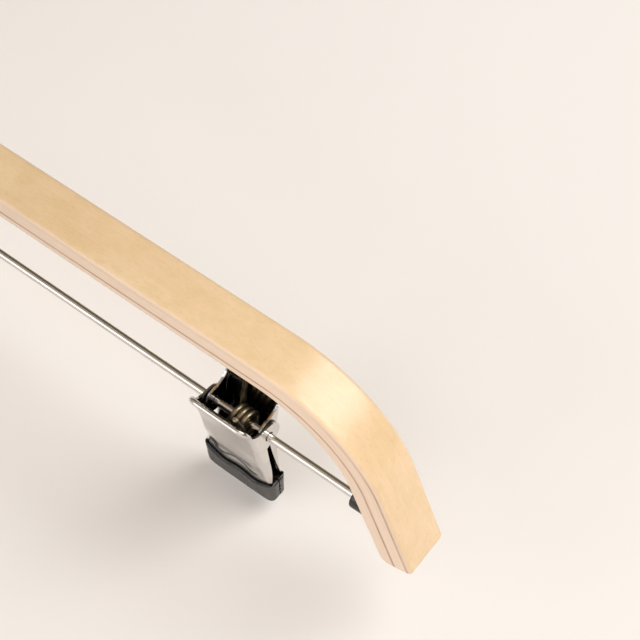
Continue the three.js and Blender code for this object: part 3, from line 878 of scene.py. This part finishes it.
def jaw_mesh(name, half_width, turn):
    """A pressed jaw with rounded edges, flanks and ears; turn is -1 for the front and 1 for the rear."""
    rows = list(np.linspace(JAW_END, -20, 17)) + list(np.linspace(-20, -11, 21))[1:]
    rows += list(np.linspace(-11, -4.9, 13))[1:]
    rows += list(np.linspace(-4.9, EAR[0][0], 5))[1:-1] + [e[0] for e in EAR]
    rows += [2.9, 3.3, 3.7, 4.0, 4.3, 4.45, 4.6, 4.7, 4.8] + list(np.linspace(4.8, 7.4, 14))[1:]
    rows += [TAB_TOP - TAB_CORNER + TAB_CORNER * math.sin(math.radians(q)) for q in range(0, 91, 9)]
    rows = sorted(set(round(float(r), 4) for r in rows))
    flat, arc, flank = 26, 8, 14
    verts = []
    for z in rows:
        y, drop, radius, bend, plate_half = jaw_corner(z, half_width)
        right = [(plate_half * i / flat, y + relief(plate_half * i / flat, z)) for i in range(flat)]
        turns = [bend * i / arc for i in range(arc + 1)]
        right += [(plate_half + radius * math.sin(a), y - radius * (1 - math.cos(a))) for a in turns]
        end_x, end_y = right[-1]
        left_over = max(drop - radius, 0.0) if bend == math.pi / 2 else 0.0
        tail = max(left_over, 0.004)
        right += [(end_x, end_y - tail * i / flank) for i in range(1, flank + 1)]
        row = [(-a, b) for a, b in reversed(right[1:])] + right
        verts += [(turn * a, turn * b, z) for a, b in row]
    columns = 2 * (flat + arc + flank) + 1
    obj = new_object(name, verts, quads(len(rows), columns))
    facing = sum(p.normal.y * turn for p in obj.data.polygons if abs(p.normal.y) > 0.5)
    if facing < 0:
        obj.data.flip_normals()
    solid = obj.modifiers.new("sheet", "SOLIDIFY")
    solid.thickness = PLATE * MM
    solid.offset = -1
    solid.use_even_offset = True
    settle(obj)
    hole = bar("ear_hole", EAR_HOLE, (-30, 0, 0), (30, 0, 0), "X", 44)
    cut(obj, [hole])
    discard([hole])
    bevel(obj, 0.16, 2, 50)
    mark_painted_shade(obj, half_width, turn)
    return obj


LIP_START = 8.4
LIP_THIN = 0.40
LIP_SWELL = 0.40


def lip_path(half_width, turn):
    """The rolled rim of a tab: up one edge, round the corner, along the top and down again."""
    half = half_width - 0.35
    top = TAB_TOP - 0.45
    corner_x, corner_z = half - TAB_CORNER, top - TAB_CORNER
    side = [(half, z) for z in np.linspace(7.2, corner_z, 3)]
    angles = [math.radians(q) for q in range(10, 91, 10)]
    bend = [(corner_x + TAB_CORNER * math.cos(a), corner_z + TAB_CORNER * math.sin(a)) for a in angles]
    right = side + bend
    across = [(corner_x * (1 - 2 * i / 20), top) for i in range(1, 20)]
    left = [(-x, z) for x, z in reversed(right)]
    points, radii = [], []
    for x, z in right + across + left:
        rise = min(max((z - LIP_START) / (top - LIP_START - 0.5), 0), 1)
        swell = rise * rise * (3 - 2 * rise)
        middle = tab_reach(z, PLATE / 2) + flare(z)
        points.append((turn * x, turn * (middle + LIP_SWELL * swell), z))
        radii.append(LIP_THIN + LIP_SWELL * swell)
    return points, radii


PAD_HALF = 12.2
PAD_CORNER = 3.6
PAD_SOLE = JAW_END - 1.2
PAD_TOP = -21.6
PAD_SHOULDER = 1.3
PAD_END_ROUND = 2.0
PAD_SOLE_ROUND = 1.8
PAD_TOP_ROUND = 0.75
PAD_FACE_GAP = 0.15
GROOVE_DEPTH = 0.35
GROOVE_HALF_WIDTH = 0.38
GROOVE_PITCH = 2


def pad_mesh(name, turn):
    """A cap over a jaw's end: a waved upper edge, rounded corners, and grooves in its gripping face."""
    slot = new_object("slot", *slab(PAD_HALF - 0.6, turn), None)

    def upper(x):
        share = (x / PAD_HALF + 1) / 2
        wave = PAD_TOP - 2.5 * math.sin(math.pi * share) - 1.6 * math.sin(2 * math.pi * share) ** 2
        outside = abs(x) - (PAD_HALF - PAD_SHOULDER)
        if outside <= 0:
            return wave
        return wave - PAD_SHOULDER + math.sqrt(max(PAD_SHOULDER ** 2 - outside ** 2, 0))

    def lower(x):
        inside = abs(x) - (PAD_HALF - PAD_CORNER)
        if inside <= 0:
            return PAD_SOLE
        return PAD_SOLE + PAD_CORNER - math.sqrt(max(PAD_CORNER ** 2 - inside ** 2, 0))

    xs = [PAD_HALF * math.sin(math.radians(q)) for q in np.linspace(-90, 90, 53)]
    steps = 44

    def outer(x, z):
        base = 2.9 + (3.4 - 2.9) * (z - PAD_SOLE) / (PAD_TOP - PAD_SOLE)
        bulge = 0.12 * (1 - (x / PAD_HALF) ** 2)
        edges = [(PAD_HALF - abs(x), PAD_END_ROUND)]
        edges += [(z - lower(x), PAD_SOLE_ROUND), (upper(x) - z, PAD_TOP_ROUND)]
        drop = 0.0
        for away, radius in edges:
            near = max(radius - max(away, 0), 0)
            drop = max(drop, radius - math.sqrt(radius ** 2 - near ** 2))
        return base - 0.12 + bulge - drop

    def inner(x, z):
        depth = 0.0
        for k in range(1, 5):
            away = abs(z - (PAD_SOLE + GROOVE_PITCH * k))
            depth = max(depth, GROOVE_DEPTH * max(1 - away / GROOVE_HALF_WIDTH, 0) ** 0.7)
        return PAD_FACE_GAP + depth

    verts = []
    for side in (outer, inner):
        for x in xs:
            a, b = lower(x), upper(x)
            for i in range(steps + 1):
                z = a + (b - a) * (1 - math.cos(math.pi * i / steps)) / 2
                verts.append((turn * x, turn * side(x, z), z))
    n, m = len(xs), steps + 1
    faces = quads(n, m)
    faces += [tuple(v + n * m for v in f) for f in quads(n, m)]
    loop = [i * m for i in range(n)] + [(n - 1) * m + j for j in range(1, m)]
    loop += [i * m + m - 1 for i in range(n - 2, -1, -1)] + [j for j in range(m - 2, 0, -1)]
    for a, b in zip(loop, loop[1:] + loop[:1]):
        faces.append((a, b, b + n * m, a + n * m))
    obj = new_object(name, verts, faces)
    bevel(obj, 0.2, 2, 50)
    cut(obj, [slot], "MANIFOLD")
    discard([slot])
    shade(obj, 40)
    return obj


def slab(half, turn):
    """The space that a jaw's plate takes in its pad, with its clearance."""
    clearance = 0.2
    rows = [(-9, follow(PLATE_LINE, -9))]
    rows += [(z, follow(PLATE_LINE, z)) for z in np.linspace(-14, JAW_END, 14)]
    rows += [(JAW_END - clearance, 2.0)]
    rings = []
    for z, y in rows:
        out = turn * (y + clearance)
        back = turn * (y - PLATE - clearance)
        rings.append([(-half, out, z), (half, out, z), (half, back, z), (-half, back, z)])
    verts = [p for ring in rings for p in ring]
    faces = quads(len(rings), 4, wrap_columns=True)
    faces += [(0, 1, 2, 3), tuple(len(verts) - 4 + k for k in range(4))]
    return verts, faces


SPREAD = math.radians(14)
COIL_RADIUS = 3.1
COIL_PITCH = 1.72
COIL_TURN = 360 * 3 + 160
COIL_OFFSET = 1.4
COIL_WIRE = 0.78
LEG_TOP = 10.9


def spring_path():
    """The spring's middle line: down the rear leg, round the coil, and up the front leg."""
    count = round(32 * COIL_TURN / 360)
    coil = []
    for i in range(count + 1):
        a = math.radians(-10 - COIL_TURN * i / count)
        x = COIL_OFFSET + COIL_PITCH * COIL_TURN / 360 * (i / count - 0.5)
        coil.append(Vector((x, COIL_RADIUS * math.cos(a), COIL_RADIUS * math.sin(a))))
    legs = []
    for foot in (coil[0], coil[-1]):
        side = 1 if foot.y > 0 else -1
        rise = LEG_TOP - foot.z
        out = side * rise * math.tan(SPREAD)
        legs.append([foot + Vector((0, out * t, rise * t)) for t in np.linspace(0.12, 1, 12)])
    return legs[0][::-1] + coil + legs[1]


def make_clip(side, name):
    place = Matrix.Translation(Vector((side * CLIP_PLACE, 0, ROD_HEIGHT)) * MM)
    front, rear = f"clip_{name}_front", f"clip_{name}_rear"
    for body, half_width, turn in ((front, FRONT_HALF_WIDTH, -1), (rear, REAR_HALF_WIDTH, 1)):
        label = body.split("_")[-1]
        jaw = jaw_mesh(f"{name}_{label}_plate", half_width, turn)
        points, radii = lip_path(half_width, turn)
        lip = wire(f"{name}_{label}_lip", points, LIP_THIN, 20, radii)
        jaw.data.transform(place)
        lip.data.transform(place)
        finish_piece(jaw, body, "clip_plating", CLIP_PLATE, f"clip_{name}_{label}_jaw")
        finish_piece(lip, body, "clip_plating", CLIP_PLATE)
        pad = pad_mesh(f"{name}_{label}_cap", turn)
        pad.data.transform(place)
        finish_piece(pad, body, "black_plastic", BLACK, f"clip_{name}_{label}_pad")
    spring = wire(f"{name}_spring_wire", spring_path(), COIL_WIRE, 16)
    spring.data.transform(place)
    finish_piece(spring, None, "spring_steel", SPRING, f"clip_{name}_spring")
    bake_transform(spring)


make_bow()
make_hook_wire()
make_collar()
make_washer()
make_nut()
make_rod()
make_sleeve(1, "right")
make_sleeve(-1, "left")
make_clip(1, "right")
make_clip(-1, "left")


# Room: a pale floor under the hanging object, and soft light

FLOOR_HEIGHT = -169
FLOOR_HALF = 4200
WORLD_POWER = 0.8
AIM = (0.14, 0, -0.12)
FILL_AIM = (0.12, 0, -0.12)
VIEW_AZIMUTH = math.radians(39.24)
VIEW_ELEVATION = math.radians(56.39)
VIEW_ROLL = math.radians(-1.73)
VIEW_FROM_TIP = (79.2, -129.7, 342.9)
FOCAL_PIXELS = 1492.3
PICTURE_PIXELS = 640
SENSOR = 36


def make_floor():
    height, size = FLOOR_HEIGHT, FLOOR_HALF
    verts = [(-size, -size, height), (size, -size, height), (size, size, height), (-size, size, height)]
    floor = new_object("floor", verts, [(0, 1, 2, 3)])
    n = Nodes("floor_paper")
    place = n.place()
    cloud = n.noise(place, 3, 3, 0.5)
    tooth = n.noise(place, 900, 2, 0.6)
    n.set("Base Color", n.ramp(cloud, [(0.3, colour(245, 239, 234)), (0.7, colour(249, 243, 238))]))
    n.set("Roughness", 0.85)
    n.bump(tooth, 0.05, 0.0001)
    floor.data.materials.append(n.material)


def make_light(name, place, target, size, power, tint):
    light = bpy.data.lights.new(name, "AREA")
    light.shape = "RECTANGLE"
    light.size, light.size_y = size
    light.energy = power
    light.color = tint
    obj = bpy.data.objects.new(name, light)
    obj.location = place
    aim = Vector(target) - Vector(place)
    obj.rotation_mode = "QUATERNION"
    obj.rotation_quaternion = aim.to_track_quat("-Z", "Y")
    bpy.context.scene.collection.objects.link(obj)


def make_world():
    """A pale studio: white in front and above, dimmer below, and dark behind the hanger."""
    world = bpy.data.worlds.new("studio")
    bpy.context.scene.world = world
    world.use_nodes = True
    tree = world.node_tree
    background = tree.nodes["Background"]
    coordinates = tree.nodes.new("ShaderNodeTexCoord")
    split = tree.nodes.new("ShaderNodeSeparateXYZ")
    tree.links.new(coordinates.outputs["Generated"], split.inputs[0])

    def level(axis, stops):
        ramp = tree.nodes.new("ShaderNodeValToRGB")
        share = tree.nodes.new("ShaderNodeMapRange")
        share.inputs["From Min"].default_value = -1
        tree.links.new(split.outputs[axis], share.inputs["Value"])
        tree.links.new(share.outputs[0], ramp.inputs[0])
        while len(ramp.color_ramp.elements) < len(stops):
            ramp.color_ramp.elements.new(0.5)
        for element, (place, tint) in zip(ramp.color_ramp.elements, stops):
            element.position = place
            element.color = tint
        return ramp.outputs[0]

    white, ivory = (1, 1, 1, 1), (1, 0.99, 0.98, 1)
    dark, darker = (0.24, 0.22, 0.18, 1), (0.20, 0.18, 0.14, 1)
    depth = level("Y", [(0.0, white), (0.30, ivory), (0.42, dark), (1.0, darker)])
    height = level("Z", [(0.40, (0.55, 0.54, 0.52, 1)), (0.62, (0.9, 0.9, 0.9, 1)), (1.0, white)])
    both = tree.nodes.new("ShaderNodeMix")
    both.data_type = "RGBA"
    both.blend_type = "MULTIPLY"
    both.inputs[0].default_value = 1
    tree.links.new(depth, both.inputs[6])
    tree.links.new(height, both.inputs[7])
    tree.links.new(both.outputs[2], background.inputs[0])
    background.inputs[1].default_value = WORLD_POWER


def make_camera():
    """The photograph's camera, fitted to the hanger's right-hand end."""
    ahead, across = math.cos(VIEW_AZIMUTH), math.sin(VIEW_AZIMUTH)
    level = math.cos(VIEW_ELEVATION)
    forward = Vector((-across * level, ahead * level, -math.sin(VIEW_ELEVATION)))
    right = Vector((ahead, across, 0))
    up = right.cross(forward)
    rolled_right = right * math.cos(VIEW_ROLL) + up * math.sin(VIEW_ROLL)
    rolled_up = up * math.cos(VIEW_ROLL) - right * math.sin(VIEW_ROLL)
    camera = bpy.data.cameras.new("camera")
    camera.sensor_width = SENSOR
    camera.lens = SENSOR * FOCAL_PIXELS / PICTURE_PIXELS
    camera.clip_start = 0.01
    camera.clip_end = 60
    obj = bpy.data.objects.new("camera", camera)
    turn = Matrix((rolled_right, rolled_up, -forward)).transposed().to_4x4()
    x, y, z = VIEW_FROM_TIP
    place = Vector((HALF_LENGTH + x, -BOW_WIDTH / 2 + y, TIP_HEIGHT + z)) * MM
    obj.matrix_world = Matrix.Translation(place) @ turn
    bpy.context.scene.collection.objects.link(obj)
    bpy.context.scene.camera = obj


make_floor()
make_world()
make_light("key", (0.80, 0.62, 1.02), AIM, (1.0, 1.0), 14.8, (1, 0.99, 0.98))
make_light("top", (0.95, -0.45, 0.95), AIM, (1.2, 1.2), 2.7, (1, 0.98, 0.97))
make_light("fill", (-0.35, -1.25, 0.55), FILL_AIM, (1.2, 0.8), 5.5, (1, 0.98, 0.97))
make_camera()

bpy.context.scene.view_settings.view_transform = "Standard"
